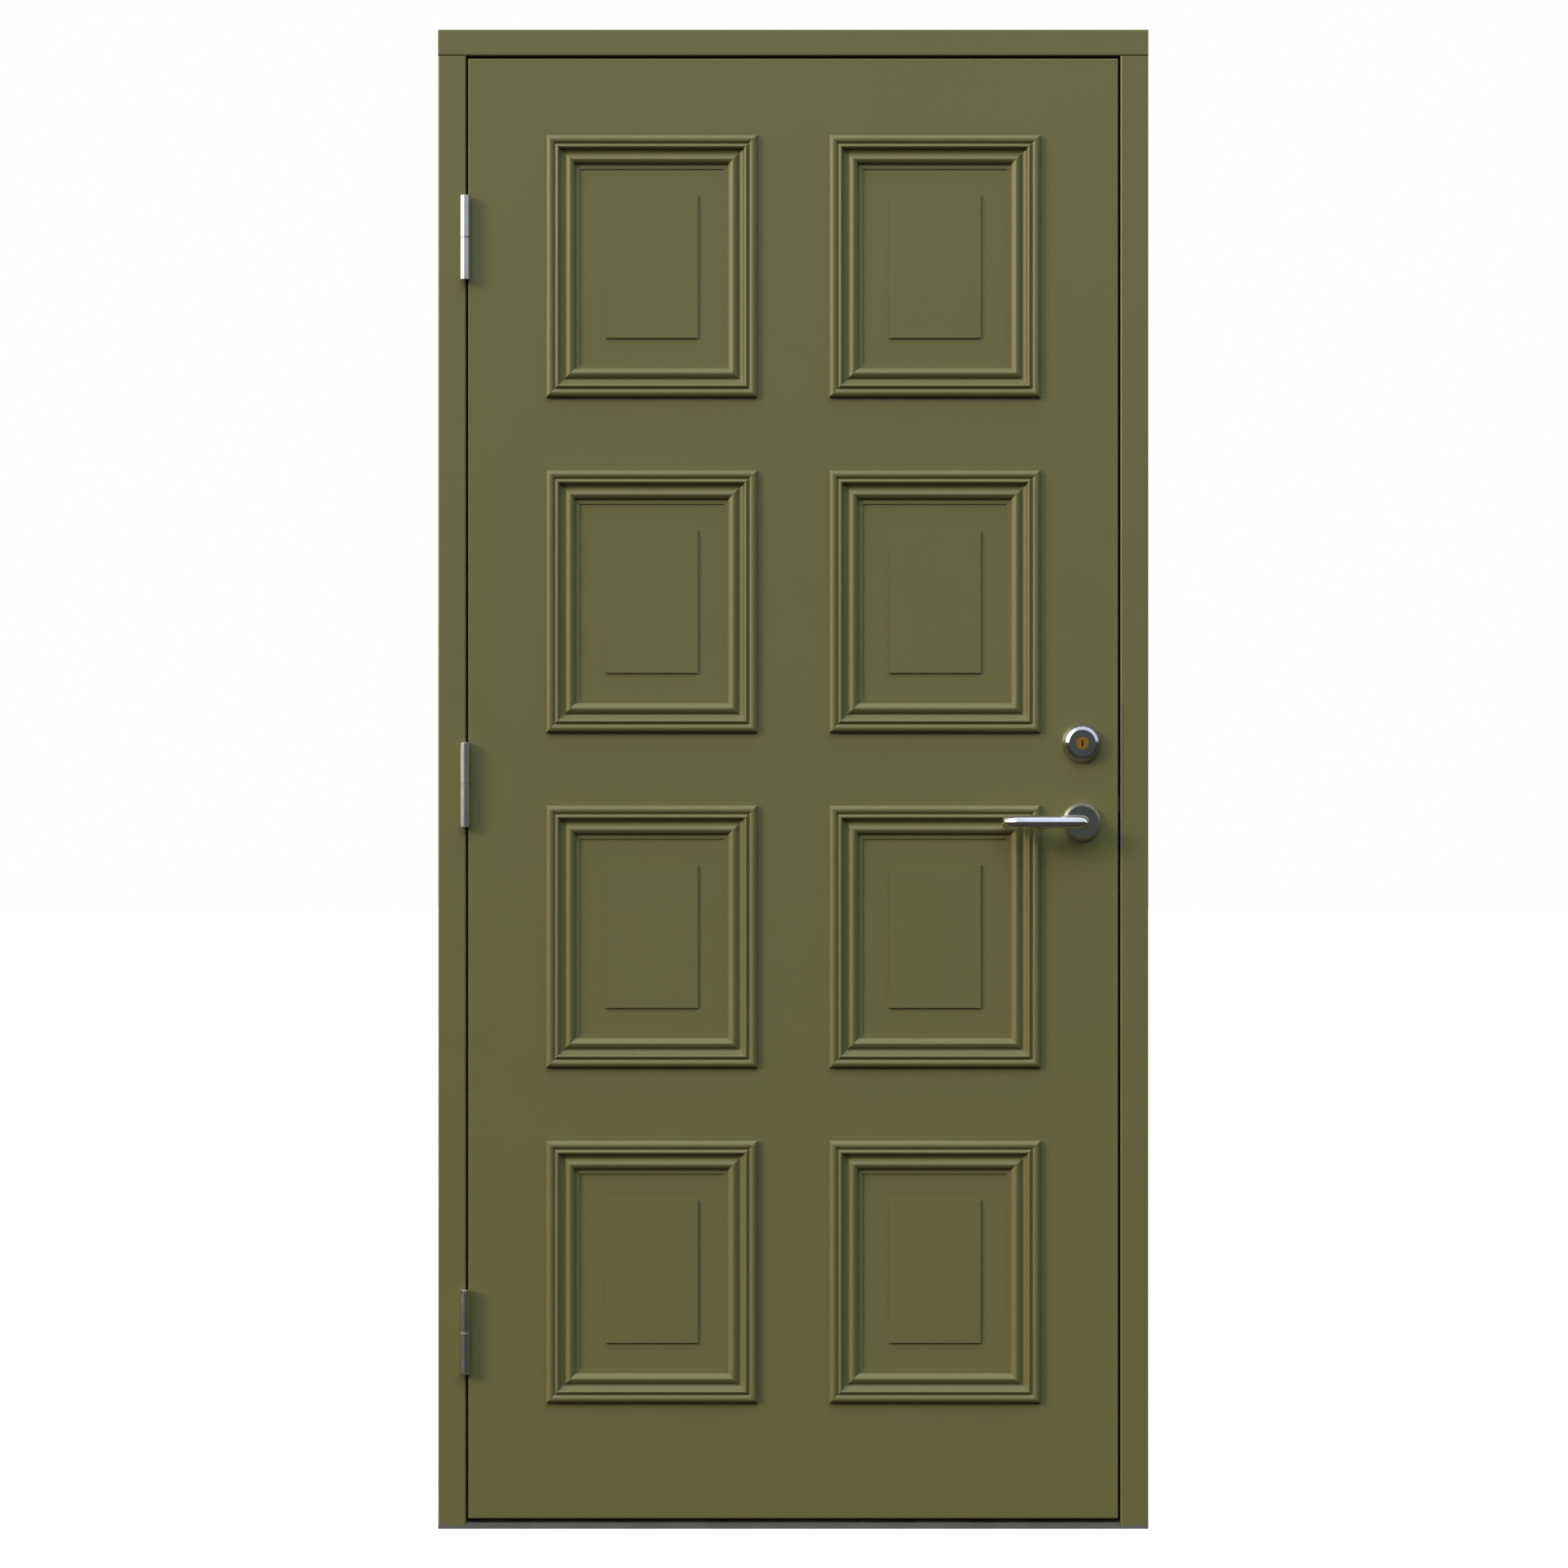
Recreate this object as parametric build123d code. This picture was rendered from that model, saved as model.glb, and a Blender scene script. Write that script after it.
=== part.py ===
from build123d import *
from math import sqrt
import os

os.makedirs("parts", exist_ok=True)

# Panelled front door in its frame, opening outwards, hinged on the left as seen from outside.
# The origin is on the underside of the threshold, at the middle of the frame's width and depth.
# X runs to the right seen from outside, Y runs from outside to inside, Z runs up. Millimetres.

# Frame
frame_width = 990.0
frame_height = 2090.0
frame_depth = 115.0
jamb_face = 39.0
head_face = 37.0
stop_cover = 13.0
frame_arris = 2.5
stop_arris = 2.0

# Gaps between leaf and frame
side_gap = 3.0
top_gap = 4.0
bottom_gap = 6.0
seal_gap = 3.5
seal_clearance = 0.3

# Threshold
plate_thickness = 5.0
tread_thickness = 3.0
tread_groove_width = 3.0
tread_groove_depth = 1.0
tread_groove_pitch = 9.0
sill_height = 27.0
sill_round = 5.0

# Seal: a stem pressed into a groove and a pad that meets the leaf
seal_stem_width = 3.0
seal_stem_depth = 6.0
seal_pad_width = 9.0
seal_pad_round = 1.4

# Leaf
leaf_thickness = 62.0
skin_thickness = 10.0
leaf_arris = 1.5
lock_edge_bevel = 2.0
hinge_stile_width = 80.0
lock_stile_width = 112.0
top_rail_height = 85.0
bottom_rail_height = 125.0

# Panels: two columns and four rows of mitred moulding frames, each round a fielded board
panel_columns = 2
panel_rows = 4
panel_side_margin = 108.8
panel_top_margin = 107.0
panel_bottom_margin = 161.8
column_gap = 100.4
row_gap = 101.8
field_margin = 36.5
field_rise = 2.5
pocket_depth = 6.0
board_clearance = 0.5

# Section of the planted moulding, from its outer edge towards the panel
moulding_width = 46.5
bead_width = 11.6
bead_height = 7.5
bead_foot = 3.6
quirk_height = 4.6
quirk_width = 0.6
crest_from_edge = 15.9
crest_height = 7.9
crest_flat = 1.9
step_bulge = 0.7
cove_end = 25.8
cove_floor = 0.8
cove_sag = 2.1
ovolo_crest = 33.6
ovolo_height = 5.3
ovolo_end = 41.0
ovolo_rising_bulge = 1.0
ovolo_falling_bulge = 1.3
fillet_rise = 1.6
pocket_cover = 13.5
panel_recess = 3.0

# Hinges: lift-off, two knuckles on a fixed pin with a bearing ring between them
hinge_top_offset = 250.0
hinge_bottom_offset = 261.0
knuckle_diameter = 14.0
hinge_length = 118.0
hinge_axis_side = 4.0
hinge_axis_front = 7.5
hinge_plate_thickness = 2.5
hinge_plate_depth = 40.0
hinge_plate_height = 108.0
hinge_pin_diameter = 8.0
hinge_pin_reach = 36.0
bearing_thickness = 1.0
bearing_diameter = 13.4
knuckle_chamfer = 0.8
running_clearance = 0.05

# Countersunk screws
screw_head_diameter = 9.0
screw_shank_diameter = 4.6
screw_length = 30.0
screw_inset = 14.0
screw_edge = 11.5

# Lock: mortise case with a sprung latch below and a deadbolt above
backset = 51.0
lever_height = 985.0
cylinder_above_lever = 110.0
case_thickness = 16.0
case_wall = 1.5
case_back = 31.0
case_below_lever = 28.0
case_above_cylinder = 52.0
case_clearance = 0.3
forend_width = 22.0
forend_thickness = 3.0
forend_overhang = 22.0
bolt_thickness = 12.0
bolt_clearance = 0.2
latch_height = 20.0
latch_above_lever = 24.0
latch_throw = 12.5
latch_length = 30.0
latch_tail_height = 5.0
latch_tail_thickness = 4.0
deadbolt_height = 30.0
deadbolt_throw = 20.0
deadbolt_length = 36.0
follower_diameter = 24.0
follower_hub_diameter = 16.0
follower_arm_reach = 20.0
follower_arm_width = 6.0
hook_clearance = 1.6
tail_clearance = 0.6
latch_nose = 2.0
latch_shoulder = 1.0
cam_diameter = 20.0
cam_half_thickness = 5.5
crank_arm_width = 8.0
crank_pin_diameter = 5.0
crank_slot_clearance = 0.8
bolt_tail_thickness = 4.0
bolt_tail_wall = 3.5

# Strike plate in the lock jamb
strike_height = 204.0
strike_thickness = 2.5
strike_lip = 5.5
strike_corner = 1.5
strike_below_bolts = 3.0
strike_behind_bolt = 17.0
strike_window_width = 16.0
latch_window_height = 30.0
deadbolt_window_height = 40.0
pocket_beyond_bolt = 4.0
pocket_side_room = 1.5
jamb_joint_beyond_strike = 30.0

# Lever handles on round roses
lever_diameter = 18.0
lever_legs_apart = 104.0
lever_projection = 41.0
lever_bend = 14.0
lever_end_gap = 14.0
lever_end_round = 2.0
rose_diameter = 53.0
rose_front_diameter = 45.0
rose_thickness = 9.0
rose_rim = 3.0
rose_neck_clearance = 0.08
spindle_width = 8.0
spindle_socket = 24.0
spindle_hole_diameter = 20.0

# Cylinder outside and thumbturn inside
cylinder_rose_diameter = 55.0
cylinder_front_diameter = 43.0
cylinder_projection = 13.0
cylinder_face_bevel = 3.0
cylinder_rim = 1.5
cylinder_body_diameter = 34.0
plug_diameter = 17.5
plug_stand = 0.8
keyway_width = 2.2
keyway_height = 8.5
keyway_depth = 24.0
tail_width = 7.0
tail_thickness = 3.0
tail_seat = 2.0
tail_room = 1.0
thumbturn_shaft_diameter = 12.0
thumbturn_length = 36.0
thumbturn_width = 11.0
thumbturn_height = 20.0
thumbturn_gap = 1.0
thumbturn_round = 1.8

# Frame fixings: threaded sleeves through both jambs, beyond and inside the end hinges
sleeve_diameter = 20.0
sleeve_bore = 9.0
sleeve_recess = 1.0
fixing_beyond_hinge = 128.0
fixing_inside_hinge = 282.0

# How far a cutting shape passes a face, and how near a place an edge is looked for
overcut = 1.0
near = 0.1

# Places worked out from the sizes above
front = -frame_depth / 2
back = frame_depth / 2
jamb_inside = frame_width / 2 - jamb_face
stop_inside = jamb_inside - stop_cover
head_under = frame_height - head_face
stop_front = front + leaf_thickness + seal_gap
leaf_half = jamb_inside - side_gap
leaf_bottom = plate_thickness + tread_thickness + bottom_gap
leaf_top = head_under - top_gap
leaf_back = front + leaf_thickness
core_front = front + skin_thickness
core_back = leaf_back - skin_thickness
mid_leaf = front + leaf_thickness / 2

columns_width = 2 * leaf_half - 2 * panel_side_margin - (panel_columns - 1) * column_gap
rows_height = leaf_top - leaf_bottom - panel_top_margin - panel_bottom_margin
rows_height -= (panel_rows - 1) * row_gap
frame_outline_width = columns_width / panel_columns
frame_outline_height = rows_height / panel_rows
panel_inset = moulding_width - pocket_cover

axis_x = -leaf_half - hinge_axis_side
axis_y = front - hinge_axis_front
knuckle_length = (hinge_length - bearing_thickness) / 2
hinge_heights = {
    "top": leaf_top - hinge_top_offset,
    "middle": (leaf_top - hinge_top_offset + leaf_bottom + hinge_bottom_offset) / 2,
    "bottom": leaf_bottom + hinge_bottom_offset,
}

lock_x = leaf_half - backset
cylinder_height = lever_height + cylinder_above_lever
latch_z = lever_height + latch_above_lever
case_low = lever_height - case_below_lever
case_high = cylinder_height + case_above_cylinder
lock_centre = (case_low + case_high) / 2


def lock_edge(y):
    """Where the bevelled lock edge of the leaf stands at a depth y."""
    return leaf_half - lock_edge_bevel * (y - front) / leaf_thickness


forend_face = lock_edge(mid_leaf + forend_width / 2)
forend_back = forend_face - forend_thickness
pocket_end = forend_face + deadbolt_throw + pocket_beyond_bolt
crank_radius = deadbolt_throw / sqrt(2)


def block(x, y, z):
    """A box between two values along each axis."""
    size = Box(x[1] - x[0], y[1] - y[0], z[1] - z[0])
    return Pos((x[0] + x[1]) / 2, (y[0] + y[1]) / 2, (z[0] + z[1]) / 2) * size


def rod_y(x, z, diameter, y0, y1):
    """A round bar along Y between two depths."""
    bar = Cylinder(diameter / 2, y1 - y0, align=(Align.CENTER, Align.CENTER, Align.MIN))
    return Pos(x, y0, z) * Rot(-90, 0, 0) * bar


def rod_z(x, y, diameter, z0, z1):
    """An upright round bar between two heights."""
    bar = Cylinder(diameter / 2, z1 - z0, align=(Align.CENTER, Align.CENTER, Align.MIN))
    return Pos(x, y, z0) * bar


def upright(outline, z0, z1):
    """A flat outline in X and Y drawn up between two heights."""
    return Pos(0, 0, z0) * extrude(outline, amount=z1 - z0)


def along_x(points, x0, x1):
    """A section in Y and Z drawn along X."""
    plane = Plane(origin=(x0, 0, 0), x_dir=(0, 1, 0), z_dir=(1, 0, 0))
    return extrude(plane * make_face(Polyline(*points, close=True)), amount=x1 - x0)


def countersunk_screw():
    """A screw along X with its head's flat face at the origin, driven towards +X."""
    head = screw_head_diameter / 2
    shank = screw_shank_diameter / 2
    cone = head - shank
    outline = Polyline(
        (0, 0), (0, head), (cone, shank), (screw_length, shank), (screw_length, 0), close=True
    )
    return revolve(make_face(outline), Axis.X)


def seal_section():
    """The seal's section: x across the stop, y from the stop face towards the leaf."""
    reach = seal_gap - seal_clearance
    pad = Pos(0, reach / 2) * Rectangle(seal_pad_width, reach)
    outer = pad.vertices().sort_by(Axis.Y)[-2:]
    pad = fillet(outer, seal_pad_round)
    stem = Pos(0, -seal_stem_depth / 2) * Rectangle(seal_stem_width, seal_stem_depth)
    return pad + stem


def jamb(side):
    """One rebated jamb with rounded arrises and a groove for the seal. Side is -1 at the hinges."""
    outer = side * frame_width / 2
    outline = Polyline(
        (outer, front),
        (side * jamb_inside, front),
        (side * jamb_inside, stop_front),
        (side * stop_inside, stop_front),
        (side * stop_inside, back),
        (outer, back),
        close=True,
    )
    face = make_face(outline)
    exposed = [v for v in face.vertices() if v.Y < front + near]
    face = fillet(exposed, frame_arris)
    stop_edges = [v for v in face.vertices() if abs(v.X - side * stop_inside) < near]
    face = fillet(stop_edges, stop_arris)
    seal_x = side * (jamb_inside + stop_inside) / 2
    groove = block(
        (seal_x - seal_stem_width / 2, seal_x + seal_stem_width / 2),
        (stop_front, stop_front + seal_stem_depth),
        (plate_thickness, head_under),
    )
    head_seal_z = head_under - stop_cover / 2
    corner = block(
        sorted((side * stop_inside, seal_x)),
        (stop_front, stop_front + seal_stem_depth),
        (head_seal_z - seal_stem_width / 2, head_seal_z + seal_stem_width / 2),
    )
    body = upright(face, plate_thickness, head_under) - groove - corner
    for height in fixing_heights():
        body -= sleeve_shape(side, height, sleeve_diameter, 0)
    return body


def fixing_heights():
    """Heights of the four sleeves in a jamb, from the lowest up."""
    low = hinge_heights["bottom"]
    high = hinge_heights["top"]
    return [
        low - fixing_beyond_hinge,
        low + fixing_inside_hinge,
        high - fixing_inside_hinge,
        high + fixing_beyond_hinge,
    ]


def sleeve_shape(side, height, diameter, recess):
    """A round bar across a jamb at the middle of the leaf's thickness."""
    x0, x1 = sorted((side * frame_width / 2, side * (jamb_inside + recess)))
    bar = Cylinder(diameter / 2, x1 - x0, align=(Align.CENTER, Align.CENTER, Align.MIN))
    return Pos(x0, mid_leaf, height) * Rot(0, 90, 0) * bar


def fixing_sleeves():
    """Steel sleeves that carry the frame's fixing screws, four in each jamb."""
    return [
        sleeve_shape(side, height, sleeve_diameter, sleeve_recess)
        - sleeve_shape(side, height, sleeve_bore, 0)
        for side in (-1, 1)
        for height in fixing_heights()
    ]


def hinge_jamb():
    """The jamb that carries the hinges, let in for their plates."""
    body = jamb(-1)
    for height in hinge_heights.values():
        body -= hinge_recess(-1, height)
    for screw in hinge_screws(-1):
        body -= screw
    return body


def lock_jamb():
    """The jamb that carries the strike plate, with a mortise that both bolts enter.

    It is glued up from three lengths, joined end to end above and below the strike.
    """
    body = jamb(1) - strike_body() - bolt_pocket()
    for screw in strike_screws():
        body -= screw
    reach = strike_height / 2 + jamb_joint_beyond_strike
    lower, rest = cut_at(body, lock_centre_strike() - reach)
    middle, upper = cut_at(rest, lock_centre_strike() + reach)
    return [lower, middle, upper]


def cut_at(body, height):
    """The pieces of a bar below and above a height."""
    plane = Plane(origin=(0, 0, height), z_dir=(0, 0, 1))
    return split(body, bisect_by=plane, keep=Keep.BOTTOM), split(body, bisect_by=plane, keep=Keep.TOP)


def bolt_pocket():
    """The mortise behind the strike plate."""
    half = strike_window_width / 2 + pocket_side_room
    low = latch_z - latch_window_height / 2 - pocket_side_room
    high = cylinder_height + deadbolt_window_height / 2 + pocket_side_room
    return block((jamb_inside, pocket_end), (mid_leaf - half, mid_leaf + half), (low, high))


def frame_head():
    """The head lies across both jambs, and its stop fits between theirs."""
    bar = along_x(
        ((front, head_under), (back, head_under), (back, frame_height), (front, frame_height)),
        -frame_width / 2,
        frame_width / 2,
    )
    long_edges = [e for e in bar.edges().filter_by(Axis.X) if e.center().Y < front + near]
    bar = fillet(long_edges, frame_arris)
    stop = block(
        (-stop_inside, stop_inside), (stop_front, back), (head_under - stop_cover, head_under)
    )
    low_edges = stop.edges().filter_by(Axis.X).sort_by(Axis.Z)[:2]
    stop = fillet(low_edges, stop_arris)
    seal_z = head_under - stop_cover / 2
    groove = block(
        (-stop_inside, stop_inside),
        (stop_front, stop_front + seal_stem_depth),
        (seal_z - seal_stem_width / 2, seal_z + seal_stem_width / 2),
    )
    return bar + (stop - groove)


def threshold_plate():
    """The flat aluminium base under the jambs and the sill."""
    return block(
        (-frame_width / 2, frame_width / 2), (front, back), (0, plate_thickness)
    )


def threshold_tread():
    """The grooved aluminium tread between the jambs, under the leaf."""
    top = plate_thickness + tread_thickness
    tread = block((-jamb_inside, jamb_inside), (front, stop_front), (plate_thickness, top))
    count = int((leaf_thickness - tread_groove_pitch) / tread_groove_pitch)
    for index in range(count):
        y = front + tread_groove_pitch * (index + 1)
        tread -= block(
            (-jamb_inside, jamb_inside),
            (y, y + tread_groove_width),
            (top - tread_groove_depth, top),
        )
    return tread


def threshold_sill():
    """The hardwood sill that the leaf's lower edge shuts against."""
    sill = block(
        (-stop_inside, stop_inside), (stop_front, back), (plate_thickness, sill_height)
    )
    top_edges = sill.edges().filter_by(Axis.X).sort_by(Axis.Z)[-2:]
    sill = fillet(top_edges, sill_round)
    seal_z = sill_seal_height()
    groove = block(
        (-stop_inside, stop_inside),
        (stop_front, stop_front + seal_stem_depth),
        (seal_z - seal_stem_width / 2, seal_z + seal_stem_width / 2),
    )
    return sill - groove


def sill_seal_height():
    """The seal's centre lies above the leaf's lower edge and under the sill's rounded top."""
    return (leaf_bottom + sill_height - sill_round + seal_pad_width / 2) / 2


def perimeter_seal():
    """One length of seal up the hinge jamb, across the head and down the lock jamb."""
    side = (jamb_inside + stop_inside) / 2
    top = head_under - stop_cover / 2
    path = Polyline(
        (-side, stop_front, plate_thickness + tread_thickness),
        (-side, stop_front, top),
        (side, stop_front, top),
        (side, stop_front, plate_thickness + tread_thickness),
    )
    start = Plane(origin=path @ 0, x_dir=(-1, 0, 0), z_dir=(0, 0, 1))
    return sweep(start * seal_section(), path=path, transition=Transition.RIGHT)


def sill_seal():
    """A shorter length of the same seal along the sill."""
    end = stop_inside
    plane = Plane(origin=(-end, stop_front, sill_seal_height()), x_dir=(0, 0, 1), z_dir=(1, 0, 0))
    return extrude(plane * seal_section(), amount=2 * end)


def hinge_recess(side, height):
    """The shallow pocket for a hinge plate: side -1 in the jamb, 1 in the leaf."""
    low = height - hinge_plate_height / 2
    depth = (front - overcut, front + hinge_plate_depth)
    return block(hinge_plate_span(side), depth, (low, low + hinge_plate_height))


def hinge_plate_span(side):
    """The plate's two faces along X, flush with the jamb or with the leaf's edge."""
    if side < 0:
        return (-jamb_inside - hinge_plate_thickness, -jamb_inside)
    return (-leaf_half, -leaf_half + hinge_plate_thickness)


def hinge_half(side, height):
    """One plate with its knuckle. The frame's knuckle is the lower one and holds the pin."""
    low = height - hinge_plate_height / 2
    plate = block(
        hinge_plate_span(side), (front, front + hinge_plate_depth), (low, low + hinge_plate_height)
    )
    if side < 0:
        knuckle_low = height - hinge_length / 2
    else:
        knuckle_low = height + hinge_length / 2 - knuckle_length
    knuckle_high = knuckle_low + knuckle_length
    barrel = rod_z(axis_x, axis_y, knuckle_diameter, knuckle_low, knuckle_high)
    barrel = chamfer(barrel.edges().filter_by(GeomType.CIRCLE), knuckle_chamfer)
    neck_low = max(knuckle_low, low) + knuckle_chamfer
    neck_high = min(knuckle_high, low + hinge_plate_height) - knuckle_chamfer
    neck = block(hinge_plate_span(side), (axis_y, front), (neck_low, neck_high))
    body = plate + (barrel + neck)
    body -= pin_space(side, height)
    for screw in plate_screws(side, height):
        body -= screw
    return body


def pin_space(side, height):
    """The hole for the pin: a press fit in the frame's knuckle and free in the leaf's."""
    if side < 0:
        return rod_z(
            axis_x,
            axis_y,
            hinge_pin_diameter,
            height - bearing_thickness / 2 - hinge_pin_reach,
            height - bearing_thickness / 2,
        )
    bore = hinge_pin_diameter + 2 * running_clearance
    low = height + bearing_thickness / 2
    return rod_z(axis_x, axis_y, bore, low, low + hinge_pin_reach + tail_clearance)


def hinge_pins():
    """Hardened pins, fixed in the lower knuckles."""
    span = hinge_pin_reach + bearing_thickness / 2
    return [
        rod_z(axis_x, axis_y, hinge_pin_diameter, height - span, height + span)
        for height in hinge_heights.values()
    ]


def hinge_bearings():
    """Rings between the knuckles that carry the leaf's weight."""
    half = bearing_thickness / 2
    bore = hinge_pin_diameter + 2 * running_clearance
    return [
        rod_z(axis_x, axis_y, bearing_diameter, height - half, height + half)
        - rod_z(axis_x, axis_y, bore, height - half, height + half)
        for height in hinge_heights.values()
    ]


def plate_screws(side, height):
    """Two screws through one hinge plate, staggered across its depth."""
    reach = hinge_plate_height / 2 - screw_inset
    places = ((-reach, front + screw_inset), (reach, front + hinge_plate_depth - screw_edge))
    x = hinge_plate_span(side)[1 if side < 0 else 0]
    turn = 180 if side < 0 else 0
    return [
        Pos(x, y, height + offset) * Rot(0, turn, 0) * countersunk_screw() for offset, y in places
    ]


def hinge_screws(side):
    """All the screws of one side's hinge plates."""
    return [s for height in hinge_heights.values() for s in plate_screws(side, height)]


def strike_body():
    """The strike plate without its windows: a flat in the rebate and a lip on the jamb's front."""
    low = lock_centre_strike() - strike_height / 2
    high = low + strike_height
    depth = (front, mid_leaf + strike_behind_bolt)
    flat = block((jamb_inside, jamb_inside + strike_thickness), depth, (low, high))
    lip = block(
        (jamb_inside, jamb_inside + strike_lip), (front, front + strike_thickness), (low, high)
    )
    body = flat + lip
    corner = [
        e
        for e in body.edges().filter_by(Axis.Z)
        if abs(e.center().X - jamb_inside) < near and abs(e.center().Y - front) < near
    ]
    return fillet(corner, strike_corner)


def lock_centre_strike():
    """The strike's middle lies a little below the middle of the two bolts."""
    return (latch_z + cylinder_height) / 2 - strike_below_bolts


def strike_window(height, window_height):
    """A window through the strike plate in front of one bolt."""
    half = strike_window_width / 2
    return block(
        (jamb_inside - overcut, jamb_inside + strike_thickness + overcut),
        (mid_leaf - half, mid_leaf + half),
        (height - window_height / 2, height + window_height / 2),
    )


def strike_plate():
    """Steel strike plate with a window for each bolt."""
    body = strike_body()
    body -= strike_window(latch_z, latch_window_height)
    body -= strike_window(cylinder_height, deadbolt_window_height)
    for screw in strike_screws():
        body -= screw
    return body


def strike_screws():
    """Two screws, one near each end of the strike plate."""
    reach = strike_height / 2 - screw_inset
    return [
        Pos(jamb_inside, mid_leaf, lock_centre_strike() + sign * reach) * countersunk_screw()
        for sign in (-1, 1)
    ]


def leaf_layer(x0, y, z):
    """A slab of the leaf from x0 to the bevelled lock edge."""
    outline = Polyline(
        (x0, y[0]), (lock_edge(y[0]), y[0]), (lock_edge(y[1]), y[1]), (x0, y[1]), close=True
    )
    return upright(make_face(outline), z[0], z[1])


def hinge_stile():
    """The upright member at the hinge edge, let in for the hinge plates."""
    width = (-leaf_half, -leaf_half + hinge_stile_width)
    body = block(width, (core_front, core_back), (leaf_bottom, leaf_top))
    for height in hinge_heights.values():
        body -= hinge_recess(1, height)
    for screw in hinge_screws(1):
        body -= screw
    return body


def lock_stile():
    """The upright member at the lock edge, mortised for the lock case and its forend."""
    body = leaf_layer(
        leaf_half - lock_stile_width, (core_front, core_back), (leaf_bottom, leaf_top)
    )
    half = case_thickness / 2 + case_clearance
    mortise = block(
        (lock_x - case_back - case_clearance, leaf_half),
        (mid_leaf - half, mid_leaf + half),
        (case_low - case_clearance, case_high + case_clearance),
    )
    body = body - mortise - forend_outline(leaf_half) - through_holes()
    for screw in forend_screws():
        body -= screw
    return body


def through_holes():
    """Holes across the leaf for the spindle, the cylinder and its tail."""
    y0 = front - overcut
    y1 = leaf_back + overcut
    spindle_hole = rod_y(lock_x, lever_height, spindle_hole_diameter, y0, y1)
    cylinder_hole = rod_y(lock_x, cylinder_height, cylinder_body_diameter, y0, mid_leaf)
    tail_hole = rod_y(lock_x, cylinder_height, spindle_hole_diameter, mid_leaf, y1)
    return spindle_hole + cylinder_hole + tail_hole


def rail(z0, z1):
    """A member between the stiles, from one height to another."""
    width = (-leaf_half + hinge_stile_width, leaf_half - lock_stile_width)
    return block(width, (core_front, core_back), (z0, z1))


def rails():
    """The cross members at the leaf's head and foot."""
    top = rail(leaf_top - top_rail_height, leaf_top)
    bottom = rail(leaf_bottom, leaf_bottom + bottom_rail_height)
    return [top, bottom]


def insulation_core():
    """The foam block inside the stiles and rails."""
    return rail(leaf_bottom + bottom_rail_height, leaf_top - top_rail_height)


def outer_skin():
    """The outer sheet, with rounded front arrises and a pocket for each panel board."""
    body = leaf_layer(-leaf_half, (front, core_front), (leaf_bottom, leaf_top))
    rim = body.faces().sort_by(Axis.Y)[0].edges()
    body = fillet(rim, leaf_arris)
    width = frame_outline_width - 2 * panel_inset
    height = frame_outline_height - 2 * panel_inset
    for x, z in panel_centres():
        body -= block(
            (x - width / 2, x + width / 2),
            (front, front + pocket_depth),
            (z - height / 2, z + height / 2),
        )
    for hinge_z in hinge_heights.values():
        body -= hinge_recess(1, hinge_z)
    return body - through_holes()


def inner_skin():
    """The plain inner sheet, with rounded arrises on the room side."""
    body = leaf_layer(-leaf_half, (core_back, leaf_back), (leaf_bottom, leaf_top))
    rim = body.faces().sort_by(Axis.Y)[-1].edges()
    return fillet(rim, leaf_arris) - through_holes()


def panel_centres():
    """Centres of the panels, row by row from the top and left to right."""
    first_x = -leaf_half + panel_side_margin + frame_outline_width / 2
    first_z = leaf_top - panel_top_margin - frame_outline_height / 2
    return [
        (
            first_x + column * (frame_outline_width + column_gap),
            first_z - row * (frame_outline_height + row_gap),
        )
        for row in range(panel_rows)
        for column in range(panel_columns)
    ]


def moulding_section():
    """Bead, quirk, crest, cove, ovolo and fillet over a foot that steps down to the panel.

    The first axis runs from the outer edge towards the panel, the second rises from the leaf's face.
    """
    bead_top = (bead_width / 2, bead_height)
    bead_end = (bead_width, quirk_height)
    step_foot = (bead_width + quirk_width, quirk_height)
    crest = (crest_from_edge, crest_height)
    cove_top = (crest_from_edge + crest_flat, crest_height - crest_flat / 2)
    cove_foot = (cove_end, cove_floor)
    ovolo_top = (ovolo_crest, ovolo_height)
    fillet_top = fillet_rise - panel_recess
    outline = Curve() + [
        Line((0, 0), (0, bead_foot)),
        ThreePointArc((0, bead_foot), bead_top, bead_end),
        Line(bead_end, step_foot),
        SagittaArc(step_foot, crest, step_bulge),
        Line(crest, cove_top),
        SagittaArc(cove_top, cove_foot, -cove_sag),
        SagittaArc(cove_foot, ovolo_top, ovolo_rising_bulge),
        SagittaArc(ovolo_top, (ovolo_end, fillet_top), ovolo_falling_bulge),
        Line((ovolo_end, fillet_top), (moulding_width, fillet_top)),
        Line((moulding_width, fillet_top), (moulding_width, -panel_recess)),
        Line((moulding_width, -panel_recess), (panel_inset, -panel_recess)),
        Line((panel_inset, -panel_recess), (panel_inset, 0)),
        Line((panel_inset, 0), (0, 0)),
    ]
    return make_face(outline)


def moulding_bar(across, along):
    """The upper bar of a moulding frame round the origin, with both ends mitred."""
    plane = Plane(origin=(0, 0, across / 2), x_dir=(0, 0, -1), z_dir=(-1, 0, 0))
    bar = extrude(plane * moulding_section(), amount=along / 2, both=True)
    for side in (-1, 1):
        mitre = Plane(origin=(side * along / 2, 0, across / 2), z_dir=(-side, 0, 1))
        bar = split(bar, bisect_by=mitre, keep=Keep.TOP)
    return bar


def moulding_frame():
    """Four mitred bars round the origin, with the leaf's face at y = 0."""
    level = moulding_bar(frame_outline_height, frame_outline_width)
    upright_bar = moulding_bar(frame_outline_width, frame_outline_height)
    return [
        level,
        Rot(0, 90, 0) * upright_bar,
        Rot(0, 180, 0) * level,
        Rot(0, 270, 0) * upright_bar,
    ]


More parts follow.
